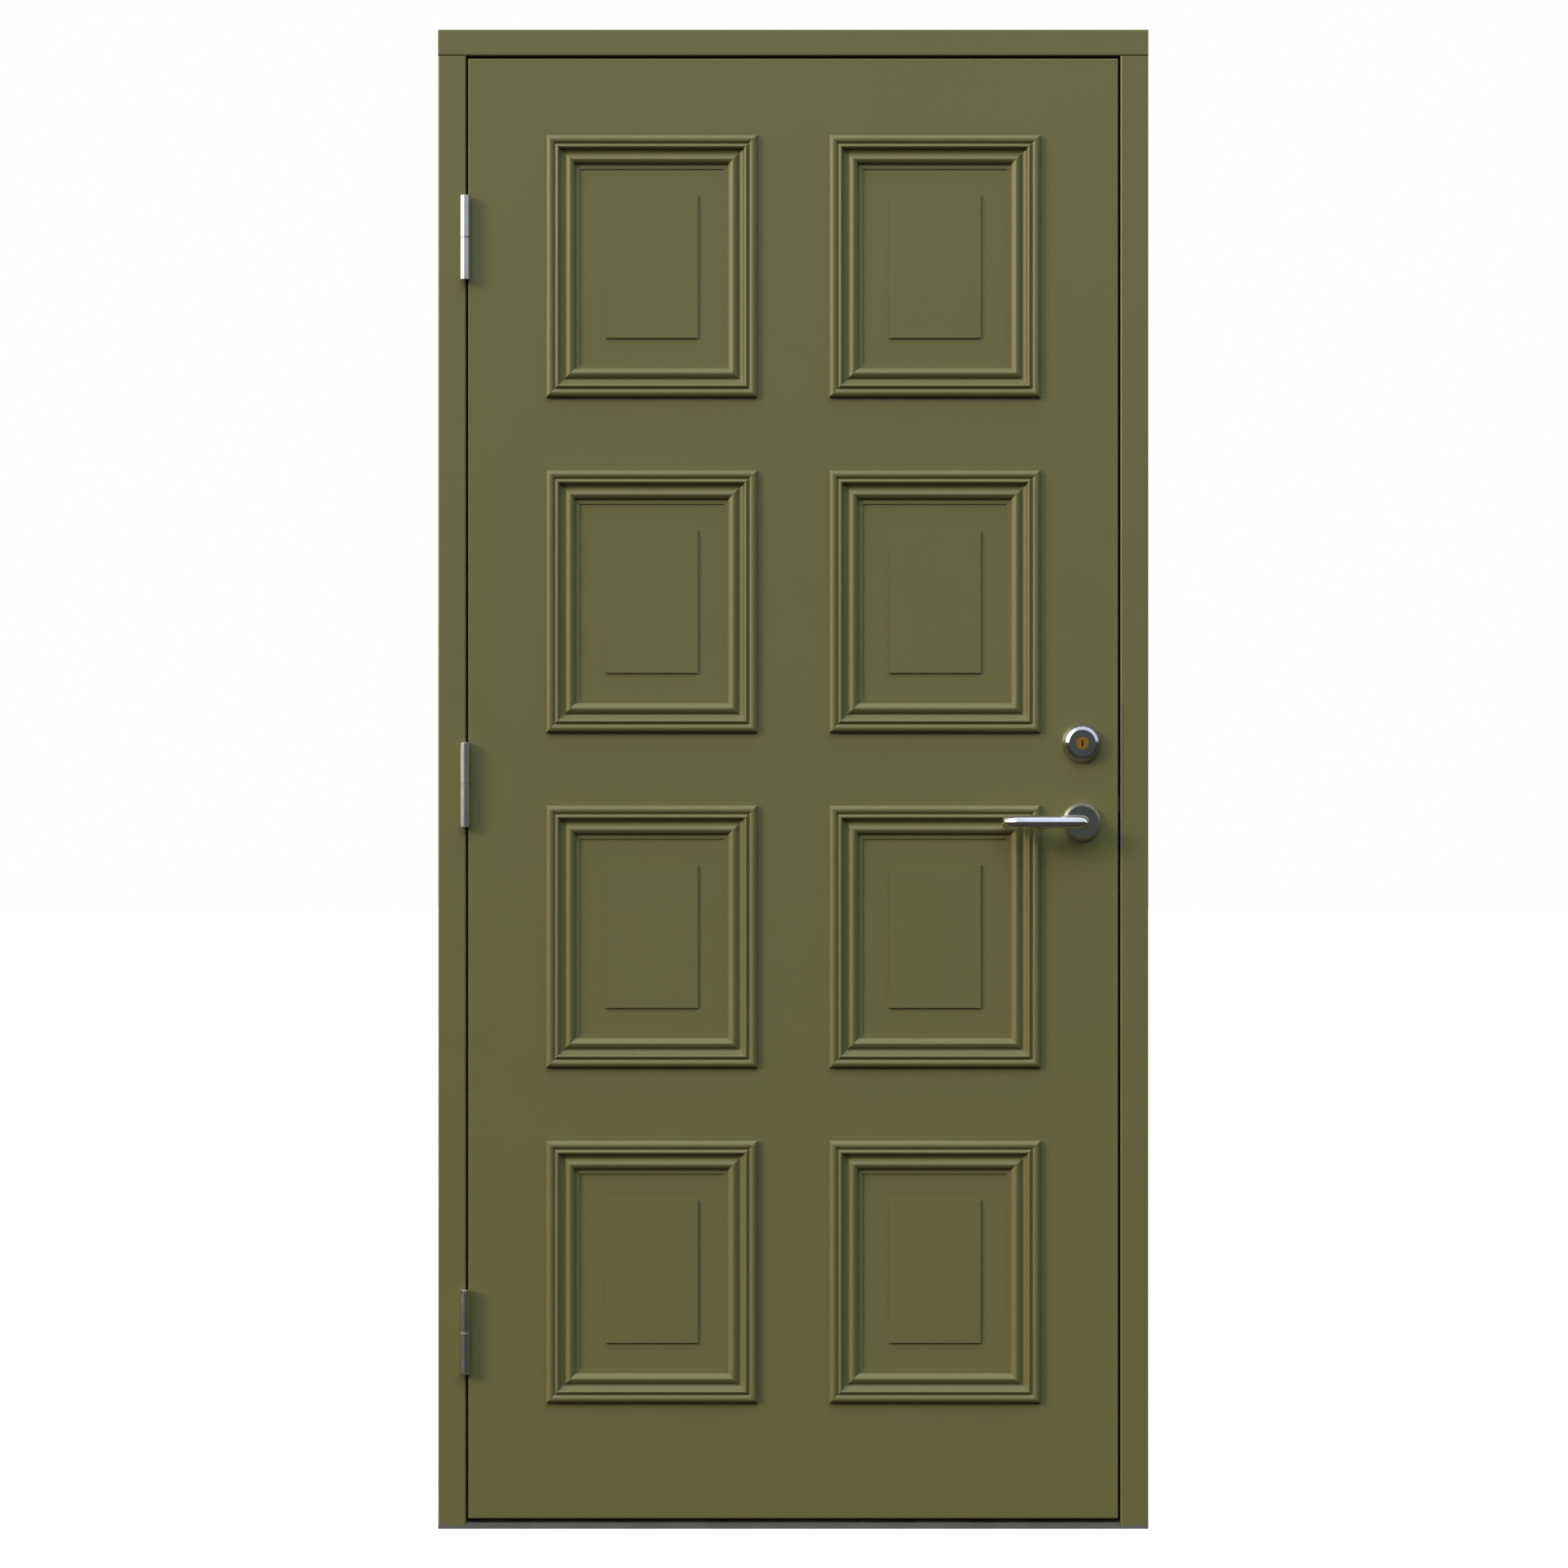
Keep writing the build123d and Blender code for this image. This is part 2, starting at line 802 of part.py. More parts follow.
def panel_board():
    """A thin board with a raised field, round the origin, with the leaf's face at y = 0."""
    half_x = frame_outline_width / 2 - panel_inset - board_clearance
    half_z = frame_outline_height / 2 - panel_inset - board_clearance
    board = block((-half_x, half_x), (panel_recess, pocket_depth), (-half_z, half_z))
    field_x = frame_outline_width / 2 - moulding_width - field_margin
    field_z = frame_outline_height / 2 - moulding_width - field_margin
    field = block(
        (-field_x, field_x), (panel_recess - field_rise, panel_recess), (-field_z, field_z)
    )
    return board + field


def forend_outline(x1):
    """The forend's outline with round ends, from the back of the forend out to x1."""
    low = case_low - forend_overhang
    high = case_high + forend_overhang
    centre = (forend_back, mid_leaf, (low + high) / 2)
    plane = Plane(origin=centre, x_dir=(0, 0, 1), z_dir=(1, 0, 0))
    return extrude(plane * SlotOverall(high - low, forend_width), amount=x1 - forend_back)


def bolt_window(height, bolt_height):
    """A window through the forend and the front of the case for one bolt."""
    half = bolt_thickness / 2 + bolt_clearance
    tall = bolt_height / 2 + bolt_clearance
    return block(
        (forend_back - case_wall - overcut, forend_face + overcut),
        (mid_leaf - half, mid_leaf + half),
        (height - tall, height + tall),
    )


def bolt_windows():
    """The windows for the latch and the deadbolt."""
    return bolt_window(latch_z, latch_height) + bolt_window(cylinder_height, deadbolt_height)


def forend():
    """The steel face plate in the leaf's edge."""
    body = forend_outline(forend_face) - bolt_windows()
    for screw in forend_screws():
        body -= screw
    return body


def forend_screws():
    """One screw through each end of the forend."""
    reach = (case_high - case_low) / 2 + forend_overhang / 2
    return [
        Pos(forend_face, mid_leaf, lock_centre + sign * reach) * Rot(0, 180, 0) * countersunk_screw()
        for sign in (-1, 1)
    ]


def lock_case():
    """A closed sheet-steel case with holes for the spindle's hub, the tail and both bolts."""
    outside = block(
        (lock_x - case_back, forend_back),
        (mid_leaf - case_thickness / 2, mid_leaf + case_thickness / 2),
        (case_low, case_high),
    )
    inside = block(
        (lock_x - case_back + case_wall, forend_back - case_wall),
        (mid_leaf - case_thickness / 2 + case_wall, mid_leaf + case_thickness / 2 - case_wall),
        (case_low + case_wall, case_high - case_wall),
    )
    hub = follower_hub_diameter + 2 * running_clearance
    hub_holes = rod_y(lock_x, lever_height, hub, front, leaf_back)
    tail_diameter = tail_width + 2 * tail_room
    tail_holes = rod_y(lock_x, cylinder_height, tail_diameter, front, leaf_back)
    return outside - inside - hub_holes - tail_holes - bolt_windows()


def latch_follower():
    """The hub that the spindle turns, with an arm that draws the latch."""
    half = case_thickness / 2 - case_wall - case_clearance
    disc = rod_y(lock_x, lever_height, follower_diameter, mid_leaf - half, mid_leaf + half)
    hub = rod_y(
        lock_x,
        lever_height,
        follower_hub_diameter,
        mid_leaf - case_thickness / 2,
        mid_leaf + case_thickness / 2,
    )
    arm = block(
        (lock_x - follower_arm_width / 2, lock_x + follower_arm_width / 2),
        (mid_leaf - latch_tail_thickness / 2, mid_leaf + latch_tail_thickness / 2),
        (lever_height, lever_height + follower_arm_reach),
    )
    return disc + hub + arm - spindle()


def latch_bolt():
    """The bevelled latch with a tail that hooks behind the follower's arm."""
    tip = forend_face + latch_throw
    rear = tip - latch_length
    half = bolt_thickness / 2
    outline = Polyline(
        (rear, mid_leaf - half),
        (tip, mid_leaf - half),
        (tip, mid_leaf - half + latch_nose),
        (forend_face + latch_shoulder, mid_leaf + half),
        (rear, mid_leaf + half),
        close=True,
    )
    head = upright(make_face(outline), latch_z - latch_height / 2, latch_z + latch_height / 2)
    hook_front = lock_x - follower_arm_width / 2 - hook_clearance
    hook_back = hook_front - latch_tail_height
    tail_low = lever_height + follower_arm_reach + tail_clearance
    half_tail = (mid_leaf - latch_tail_thickness / 2, mid_leaf + latch_tail_thickness / 2)
    tail = block((hook_back, rear), half_tail, (tail_low, tail_low + latch_tail_height))
    hook_low = lever_height + follower_diameter / 2 + tail_clearance
    hook = block((hook_back, hook_front), half_tail, (hook_low, tail_low + latch_tail_height))
    return head + (tail + hook)


def deadbolt():
    """The rectangular bolt, drawn back flush with the forend, with a slotted tail for the cam's pin."""
    half = bolt_thickness / 2
    head = block(
        (forend_face - deadbolt_length, forend_face),
        (mid_leaf - half, mid_leaf + half),
        (cylinder_height - deadbolt_height / 2, cylinder_height + deadbolt_height / 2),
    )
    side = crank_radius / sqrt(2)
    slot_half = crank_pin_diameter / 2 + crank_slot_clearance
    slot_low = cylinder_height + side - slot_half
    slot_high = cylinder_height + crank_radius + slot_half
    tail_plate = block(
        (lock_x - side - slot_half - bolt_tail_wall, forend_face - deadbolt_length),
        (mid_leaf - half, mid_leaf - half + bolt_tail_thickness),
        (slot_low, slot_high + bolt_tail_wall),
    )
    slot = block(
        (lock_x - side - slot_half, lock_x - side + slot_half),
        (mid_leaf - half, mid_leaf + half),
        (slot_low, slot_high),
    )
    return head + (tail_plate - slot)


def bolt_cam():
    """The cam on the tail. Its pin swings from 45 degrees on one side to 45 degrees on the other."""
    plate_front = mid_leaf - bolt_thickness / 2 + bolt_tail_thickness + case_clearance
    plate_back = mid_leaf + cam_half_thickness
    disc = rod_y(lock_x, cylinder_height, cam_diameter, plate_front, plate_back)
    half = crank_arm_width / 2
    arm = block((-half, half), (plate_front, plate_back), (0, crank_radius))
    arm += rod_y(0, crank_radius, crank_arm_width, plate_front, plate_back)
    arm += rod_y(0, crank_radius, crank_pin_diameter, mid_leaf - bolt_thickness / 2, plate_front)
    return disc + Pos(lock_x, 0, cylinder_height) * Rot(0, -45, 0) * arm - tail()


def spindle():
    """The square bar that joins the two levers through the lock."""
    half = spindle_width / 2
    return block(
        (lock_x - half, lock_x + half),
        (front - spindle_socket, leaf_back + spindle_socket),
        (lever_height - half, lever_height + half),
    )


def facing(side, shape):
    """Sets a shape drawn outwards from y = 0 on the outer face (-1) or the inner face (1)."""
    if side < 0:
        return Pos(0, front, 0) * shape
    return Pos(0, leaf_back, 0) * mirror(shape, about=Plane.XZ)


def lever(side):
    """A round bar bent out of its rose, along the leaf and back towards it."""
    free_x = lock_x - lever_legs_apart
    path = FilletPolyline(
        (lock_x, 0, lever_height),
        (lock_x, -lever_projection, lever_height),
        (free_x, -lever_projection, lever_height),
        (free_x, -lever_end_gap, lever_height),
        radius=lever_bend,
    )
    start = Plane(origin=path @ 0, z_dir=(0, -1, 0))
    bar = sweep(start * Circle(lever_diameter / 2), path=path)
    free_end = [
        e
        for e in bar.edges().filter_by(GeomType.CIRCLE)
        if e.center().X < lock_x - lever_legs_apart / 2 and abs(e.center().Y + lever_end_gap) < near
    ]
    bar = fillet(free_end, lever_end_round)
    return facing(side, bar) - spindle()


def rose(side, height, diameter, front_diameter, thickness, bore, rim):
    """A turned cover with a short straight rim, a cone and a round hole."""
    outline = Polyline(
        (bore / 2, 0),
        (diameter / 2, 0),
        (diameter / 2, rim),
        (front_diameter / 2, thickness),
        (bore / 2, thickness),
        close=True,
    )
    turned = revolve(make_face(outline), Axis.Y)
    return facing(side, Pos(lock_x, 0, height) * Rot(180, 0, 0) * turned)


def lever_rose(side):
    """The round cover plate that the lever's neck turns in."""
    bore = lever_diameter + 2 * rose_neck_clearance
    return rose(
        side, lever_height, rose_diameter, rose_front_diameter, rose_thickness, bore, rose_rim
    )


def cylinder_rose():
    """The tapered security ring round the cylinder, bevelled at its front edge."""
    body = rose(
        -1,
        cylinder_height,
        cylinder_rose_diameter,
        cylinder_front_diameter,
        cylinder_projection,
        cylinder_body_diameter,
        cylinder_rim,
    )
    rim = [
        e
        for e in body.edges().filter_by(GeomType.CIRCLE)
        if abs(e.center().Y - front + cylinder_projection) < near
        and e.radius > cylinder_body_diameter / 2 + near
    ]
    return chamfer(rim, cylinder_face_bevel)


def cylinder_housing():
    """The round lock cylinder from the ring's front to the lock case."""
    bore = plug_diameter + 2 * running_clearance
    y0 = front - cylinder_projection
    y1 = mid_leaf - case_thickness / 2
    body = rod_y(lock_x, cylinder_height, cylinder_body_diameter, y0, y1)
    return body - rod_y(lock_x, cylinder_height, bore, y0, y1)


def cylinder_plug():
    """The key plug with its keyway, and the flat tail that reaches through to the thumbturn."""
    y0 = front - cylinder_projection - plug_stand
    y1 = mid_leaf - case_thickness / 2 - tail_clearance
    plug = rod_y(lock_x, cylinder_height, plug_diameter, y0, y1)
    keyway = block(
        (lock_x - keyway_width / 2, lock_x + keyway_width / 2),
        (y0 - overcut, y0 + keyway_depth),
        (cylinder_height - keyway_height / 2, cylinder_height + keyway_height / 2),
    )
    return plug - keyway + tail()


def tail():
    """The flat bar between the plug and the thumbturn."""
    return block(
        (lock_x - tail_width / 2, lock_x + tail_width / 2),
        (mid_leaf - case_thickness / 2 - tail_seat, leaf_back + rose_thickness),
        (cylinder_height - tail_thickness / 2, cylinder_height + tail_thickness / 2),
    )


def thumbturn_rose():
    """The cover plate under the thumbturn."""
    bore = thumbturn_shaft_diameter + 2 * rose_neck_clearance
    return rose(
        1, cylinder_height, rose_diameter, rose_front_diameter, rose_thickness, bore, rose_rim
    )


def thumbturn():
    """The upright oval grip on its shaft."""
    base = leaf_back + rose_thickness + thumbturn_gap
    shaft_start = leaf_back + thumbturn_gap
    shaft = rod_y(lock_x, cylinder_height, thumbturn_shaft_diameter, shaft_start, base + overcut)
    plane = Plane(origin=(lock_x, base, cylinder_height), x_dir=(0, 0, 1), z_dir=(0, 1, 0))
    grip = extrude(plane * SlotOverall(thumbturn_length, thumbturn_width), amount=thumbturn_height)
    outer = grip.faces().sort_by(Axis.Y)[-1].edges()
    grip = fillet(outer, thumbturn_round)
    return shaft + grip - tail()


def save(name, shape):
    """Writes one node. A list becomes a group of separate solids."""
    if isinstance(shape, list):
        shape = Compound(children=[solid for piece in shape for solid in piece.solids()])
    export_step(shape, f"parts/{name}.step")


save("frame_head", frame_head())
save("hinge_jamb", hinge_jamb())
save("lock_jamb", lock_jamb())
save("fixing_sleeves", fixing_sleeves())
save("threshold_plate", threshold_plate())
save("threshold_tread", threshold_tread())
save("threshold_sill", threshold_sill())
save("perimeter_seal", perimeter_seal())
save("sill_seal", sill_seal())
save("strike_plate", strike_plate())
save("strike_screws", strike_screws())

for place, height in hinge_heights.items():
    save(f"{place}_hinge_frame_half", hinge_half(-1, height))
    save(f"{place}_hinge_leaf_half", hinge_half(1, height))
save("hinge_pins", hinge_pins())
save("hinge_bearings", hinge_bearings())
save("frame_hinge_screws", hinge_screws(-1))
save("leaf_hinge_screws", hinge_screws(1))

save("hinge_stile", hinge_stile())
save("lock_stile", lock_stile())
save("rails", rails())
save("insulation_core", insulation_core())
save("outer_skin", outer_skin())
save("inner_skin", inner_skin())

bars = moulding_frame()
board = panel_board()
for index, (x, z) in enumerate(panel_centres()):
    place = f"{index // panel_columns + 1}_{index % panel_columns + 1}"
    save(f"moulding_frame_{place}", [Pos(x, front, z) * bar for bar in bars])
    save(f"panel_board_{place}", Pos(x, front, z) * board)

save("lock_case", lock_case())
save("forend", forend())
save("forend_screws", forend_screws())
save("latch_bolt", latch_bolt())
save("deadbolt", deadbolt())
save("bolt_cam", bolt_cam())
save("latch_follower", latch_follower())
save("spindle", spindle())
save("outer_lever", lever(-1))
save("inner_lever", lever(1))
save("outer_lever_rose", lever_rose(-1))
save("inner_lever_rose", lever_rose(1))
save("cylinder_rose", cylinder_rose())
save("cylinder_housing", cylinder_housing())
save("cylinder_plug", cylinder_plug())
save("thumbturn_rose", thumbturn_rose())
save("thumbturn", thumbturn())
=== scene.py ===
# Panelled front door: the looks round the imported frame
# A painted timber door hangs in its frame on three lift-off hinges, over a grooved metal threshold.
# Metres, x across the opening, y from the street side to the room, z up from the floor.
from math import pi, radians, sin

import bmesh
import bpy
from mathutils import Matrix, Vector


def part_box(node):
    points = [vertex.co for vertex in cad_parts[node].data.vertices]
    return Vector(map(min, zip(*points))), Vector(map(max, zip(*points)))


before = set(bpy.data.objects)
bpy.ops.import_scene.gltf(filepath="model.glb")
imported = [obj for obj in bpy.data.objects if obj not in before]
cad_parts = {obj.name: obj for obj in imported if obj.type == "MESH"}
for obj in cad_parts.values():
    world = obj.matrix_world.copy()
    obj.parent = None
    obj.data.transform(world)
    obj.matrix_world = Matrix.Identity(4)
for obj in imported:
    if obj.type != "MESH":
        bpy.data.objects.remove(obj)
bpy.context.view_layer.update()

# Camera
# The lens stands six metres in front of the door at the height of the lock, and looks straight at it.
outer_face_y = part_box("frame_head")[0].y
lens_distance = 6.0
lens_x = -0.0129
lens_z = 1.038
picture_width = 2.1855
sensor_width = 36.0

lens = bpy.data.cameras.new("lens")
lens.sensor_width = sensor_width
lens.lens = sensor_width * lens_distance / picture_width
camera = bpy.data.objects.new("camera", lens)
camera.location = (lens_x, outer_face_y - lens_distance, lens_z)
camera.rotation_euler = (radians(90), 0, 0)
bpy.context.scene.collection.objects.link(camera)
bpy.context.scene.camera = camera


# Frame head and jambs
# Planed redwood under olive satin paint, sprayed on. The head runs over both jambs, and the frame is
# fixed to the wall through steel sleeves.
olive = (0.127, 0.127, 0.050)
olive_deep = (0.1245, 0.1255, 0.0485)
olive_warm = (0.1295, 0.1285, 0.0515)
paint_roughness = 0.32
smoother_by = 0.02
rougher_by = 0.05
patches_to_metre = 5.0
haze_to_metre = 22.0
spray_to_metre = 420.0
spray_depth = 0.000008
grain_to_metre = 60.0
grain_depth = 0.000012
along_jambs = (9, 9, 0.4)
along_head = (0.4, 9, 9)


def finish(name, colour, roughness, metallic=0.0):
    """A new material, with its tree and its shader."""
    material = bpy.data.materials.new(name)
    material.use_nodes = True
    shader = material.node_tree.nodes["Principled BSDF"]
    shader.inputs["Base Color"].default_value = (*colour, 1)
    shader.inputs["Roughness"].default_value = roughness
    shader.inputs["Metallic"].default_value = metallic
    return material, material.node_tree, shader


def place(tree, stretch=(1, 1, 1)):
    """The point on the piece, with the pattern squeezed along each axis by stretch."""
    where = tree.nodes.new("ShaderNodeTexCoord")
    mapping = tree.nodes.new("ShaderNodeMapping")
    mapping.inputs["Scale"].default_value = stretch
    tree.links.new(where.outputs["Object"], mapping.inputs["Vector"])
    return mapping.outputs["Vector"]


def cloud(tree, where, scale, detail=3.0):
    """Soft noise, scale patches to the metre."""
    noise = tree.nodes.new("ShaderNodeTexNoise")
    noise.inputs["Scale"].default_value = scale
    noise.inputs["Detail"].default_value = detail
    tree.links.new(where, noise.inputs["Vector"])
    return noise.outputs["Fac"]


def spread(tree, value, low, high, to_low=0.0, to_high=1.0):
    """The value taken from low..high to to_low..to_high."""
    node = tree.nodes.new("ShaderNodeMapRange")
    for socket, number in zip(("From Min", "From Max", "To Min", "To Max"), (low, high, to_low, to_high)):
        node.inputs[socket].default_value = number
    tree.links.new(value, node.inputs["Value"])
    return node.outputs["Result"]


def blend(tree, share, first, second):
    """A colour from first to second by share; each is a colour or a socket."""
    node = tree.nodes.new("ShaderNodeMix")
    node.data_type = "RGBA"
    first_in, second_in, mixed_out = node.inputs[6], node.inputs[7], node.outputs[2]
    tree.links.new(share, node.inputs["Factor"])
    for socket, colour in ((first_in, first), (second_in, second)):
        if isinstance(colour, tuple):
            socket.default_value = (*colour, 1)
        else:
            tree.links.new(colour, socket)
    return mixed_out


def relief(tree, shader, height, depth):
    """Raises the surface by depth where height is 1, over any relief already there."""
    bump = tree.nodes.new("ShaderNodeBump")
    bump.inputs["Distance"].default_value = depth
    tree.links.new(height, bump.inputs["Height"])
    before = shader.inputs["Normal"]
    if before.is_linked:
        tree.links.new(before.links[0].from_socket, bump.inputs["Normal"])
    tree.links.new(bump.outputs["Normal"], before)


def dress(material, *names):
    """The material on these CAD nodes."""
    for name in names:
        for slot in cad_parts[name].material_slots:
            slot.material = material


def olive_paint(name, grain):
    """Satin paint over wood or board; grain is how the timber under it runs."""
    material, tree, shader = finish(name, olive, paint_roughness)
    where = place(tree)
    patches = spread(tree, cloud(tree, where, patches_to_metre), 0.2, 0.8)
    tree.links.new(blend(tree, patches, olive_deep, olive_warm), shader.inputs["Base Color"])
    haze = cloud(tree, where, haze_to_metre)
    hazy = spread(tree, haze, 0.1, 0.9, paint_roughness - smoother_by, paint_roughness + rougher_by)
    tree.links.new(hazy, shader.inputs["Roughness"])
    relief(tree, shader, cloud(tree, where, spray_to_metre, 2.0), spray_depth)
    relief(tree, shader, cloud(tree, place(tree, grain), grain_to_metre, 4.0), grain_depth)
    return material


dress(olive_paint("paint_on_jambs", along_jambs), "hinge_jamb", "lock_jamb")
dress(olive_paint("paint_on_head", along_head), "frame_head")


# Fixing sleeves
# Turned steel, zinc plated: the long frame screws run through them into the wall.
zinc_dark = (0.34, 0.35, 0.37)
zinc_pale = (0.50, 0.50, 0.49)
zinc, zinc_tree, zinc_shader = finish("zinc_sleeve", (0.42, 0.43, 0.44), 0.34, 1.0)
zinc_place = place(zinc_tree)
spangle = cloud(zinc_tree, zinc_place, 180.0)
zinc_tree.links.new(blend(zinc_tree, spangle, zinc_dark, zinc_pale), zinc_shader.inputs["Base Color"])
relief(zinc_tree, zinc_shader, cloud(zinc_tree, zinc_place, 900.0), 0.00003)
dress(zinc, "fixing_sleeves")


# Threshold
# An anodised aluminium base plate with a grooved tread on it, and an oiled oak sill behind.
# The metal is drawn lengthwise, and its sheen varies a little.
aluminium_dark = (0.14, 0.14, 0.142)
aluminium_pale = (0.20, 0.20, 0.202)
shiniest = 0.34
dullest = 0.52
plate, plate_tree, plate_shader = finish("anodised_aluminium", (0.17, 0.17, 0.17), 0.42, 0.6)
drawn = cloud(plate_tree, place(plate_tree, (0.5, 30, 30)), 60.0, 4.0)
plate_tree.links.new(
    blend(plate_tree, drawn, aluminium_dark, aluminium_pale), plate_shader.inputs["Base Color"])
dulled = cloud(plate_tree, place(plate_tree), 14.0)
plate_tree.links.new(
    spread(plate_tree, dulled, 0.3, 0.7, shiniest, dullest), plate_shader.inputs["Roughness"])
relief(plate_tree, plate_shader, drawn, 0.00003)
dress(plate, "threshold_plate", "threshold_tread")


def timber(name, pale, dark, stretch, roughness, pores):
    """Bare or oiled wood: long fibres along the short axis of stretch, with growth rings and pores."""
    material, tree, shader = finish(name, pale, roughness)
    along = place(tree, stretch)
    rings = tree.nodes.new("ShaderNodeTexWave")
    rings.wave_type = "RINGS"
    rings.inputs["Scale"].default_value = 9.0
    rings.inputs["Distortion"].default_value = 5.0
    rings.inputs["Detail"].default_value = 3.0
    tree.links.new(along, rings.inputs["Vector"])
    fibres = cloud(tree, along, 60.0, 6.0)
    ringed = blend(tree, spread(tree, rings.outputs["Fac"], 0.2, 1.0), pale, dark)
    tree.links.new(blend(tree, spread(tree, fibres, 0.45, 0.75), ringed, dark), shader.inputs["Base Color"])
    tree.links.new(
        spread(tree, fibres, 0.3, 0.7, roughness - 0.06, roughness + 0.08), shader.inputs["Roughness"])
    relief(tree, shader, fibres, pores)
    return material, tree, shader


oak, _, _ = timber("oiled_oak", (0.34, 0.19, 0.08), (0.16, 0.075, 0.028), (0.6, 14, 14), 0.42, 0.0002)
dress(oak, "threshold_sill")


# Seals
# Black rubber, extruded with a stem that is pushed into a groove in the stop. Dust greys it in patches.
rubber_black = (0.010, 0.010, 0.011)
rubber_dusty = (0.040, 0.038, 0.034)
rubber, rubber_tree, rubber_shader = finish("seal_rubber", (0.012, 0.012, 0.012), 0.62)
rubber_place = place(rubber_tree)
dust = spread(rubber_tree, cloud(rubber_tree, rubber_place, 70.0, 5.0), 0.4, 0.8)
rubber_tree.links.new(
    blend(rubber_tree, dust, rubber_black, rubber_dusty), rubber_shader.inputs["Base Color"])
relief(rubber_tree, rubber_shader, cloud(rubber_tree, rubber_place, 1500.0), 0.00002)
dress(rubber, "perimeter_seal", "sill_seal")


# Hinges
# Lift-off hinges of polished steel: the leaf's upper knuckle drops over a hardened pin and turns on
# a steel ring. Each plate is held by two screws.
hazed_by = 1.25


def bright_metal(name, colour, dull, roughness, scratches):
    """Polished metal with faint hazing and fine scratches; dull is its colour under the haze."""
    material, tree, shader = finish(name, colour, roughness, 1.0)
    haze = spread(tree, cloud(tree, place(tree), 45.0, 5.0), 0.45, 0.75)
    tree.links.new(blend(tree, haze, colour, dull), shader.inputs["Base Color"])
    tree.links.new(spread(tree, haze, 0, 1, roughness, roughness * hazed_by), shader.inputs["Roughness"])
    relief(tree, shader, cloud(tree, place(tree, (1, 1, 12)), 260.0, 4.0), scratches)
    return material


hinge_steel = bright_metal("hinge_steel", (0.66, 0.67, 0.68), (0.58, 0.59, 0.60), 0.20, 0.000003)
bearing_steel = bright_metal("bearing_steel", (0.50, 0.50, 0.50), (0.38, 0.38, 0.38), 0.30, 0.000005)
pin_steel = bright_metal("pin_steel", (0.42, 0.42, 0.43), (0.30, 0.30, 0.31), 0.30, 0.000006)
screw_zinc = bright_metal("zinc_screws", (0.62, 0.61, 0.55), (0.45, 0.44, 0.40), 0.30, 0.000006)
for height in ("top", "middle", "bottom"):
    dress(hinge_steel, f"{height}_hinge_frame_half", f"{height}_hinge_leaf_half")
dress(bearing_steel, "hinge_bearings")
dress(pin_steel, "hinge_pins")
dress(screw_zinc, "frame_hinge_screws", "leaf_hinge_screws")


# Stiles, rails and core
# Finger-jointed pine members round a foam block. Their outer edges are painted with the leaf, and so is
# the lock stile's edge where its bevel draws it in.
leaf_low, leaf_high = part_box("outer_skin")
bevelled_edge_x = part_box("inner_skin")[1].x
paint_wrap = 0.0005
pine, pine_tree, pine_shader = timber(
    "pine_members", (0.56, 0.38, 0.20), (0.36, 0.20, 0.08), (12, 12, 0.5), 0.55, 0.0001)
where_edge = pine_tree.nodes.new("ShaderNodeSeparateXYZ")
pine_tree.links.new(place(pine_tree), where_edge.inputs["Vector"])


def beyond(tree, value, limit, away=False):
    """1 where the value is over the limit, or its size is when away."""
    if away:
        size = tree.nodes.new("ShaderNodeMath")
        size.operation = "ABSOLUTE"
        tree.links.new(value, size.inputs[0])
        value = size.outputs[0]
    node = tree.nodes.new("ShaderNodeMath")
    node.operation = "GREATER_THAN"
    node.inputs[1].default_value = limit
    tree.links.new(value, node.inputs[0])
    return node.outputs[0]


bare = pine_shader.inputs["Base Color"].links[0].from_socket
at_sides = beyond(pine_tree, where_edge.outputs["X"], bevelled_edge_x - paint_wrap, away=True)
at_top = beyond(pine_tree, where_edge.outputs["Z"], leaf_high.z - paint_wrap)
over_foot = beyond(pine_tree, where_edge.outputs["Z"], leaf_low.z + paint_wrap)
sided = blend(pine_tree, at_sides, bare, olive)
topped = blend(pine_tree, at_top, sided, olive)
pine_tree.links.new(blend(pine_tree, over_foot, olive, topped), pine_shader.inputs["Base Color"])
dress(pine, "hinge_stile", "lock_stile", "rails")

foam_dark = (0.55, 0.47, 0.30)
foam_pale = (0.70, 0.64, 0.47)
foam, foam_tree, foam_shader = finish("insulation_foam", (0.62, 0.56, 0.40), 0.9)
cells = foam_tree.nodes.new("ShaderNodeTexVoronoi")
cells.inputs["Scale"].default_value = 700.0
foam_tree.links.new(place(foam_tree), cells.inputs["Vector"])
foam_tree.links.new(
    blend(foam_tree, cells.outputs["Distance"], foam_dark, foam_pale), foam_shader.inputs["Base Color"])
relief(foam_tree, foam_shader, cells.outputs["Distance"], 0.0003)
dress(foam, "insulation_core")


# Skins, mouldings and panels
# High-density fibreboard skins, with eight mitred moulding frames and a raised board in each,
# sprayed together.
leaf_paint = olive_paint("paint_on_leaf", (1.5, 1.5, 1.0))
dress(leaf_paint, "outer_skin", "inner_skin")
for row in range(1, 5):
    for column in (1, 2):
        dress(leaf_paint, f"moulding_frame_{row}_{column}", f"panel_board_{row}_{column}")


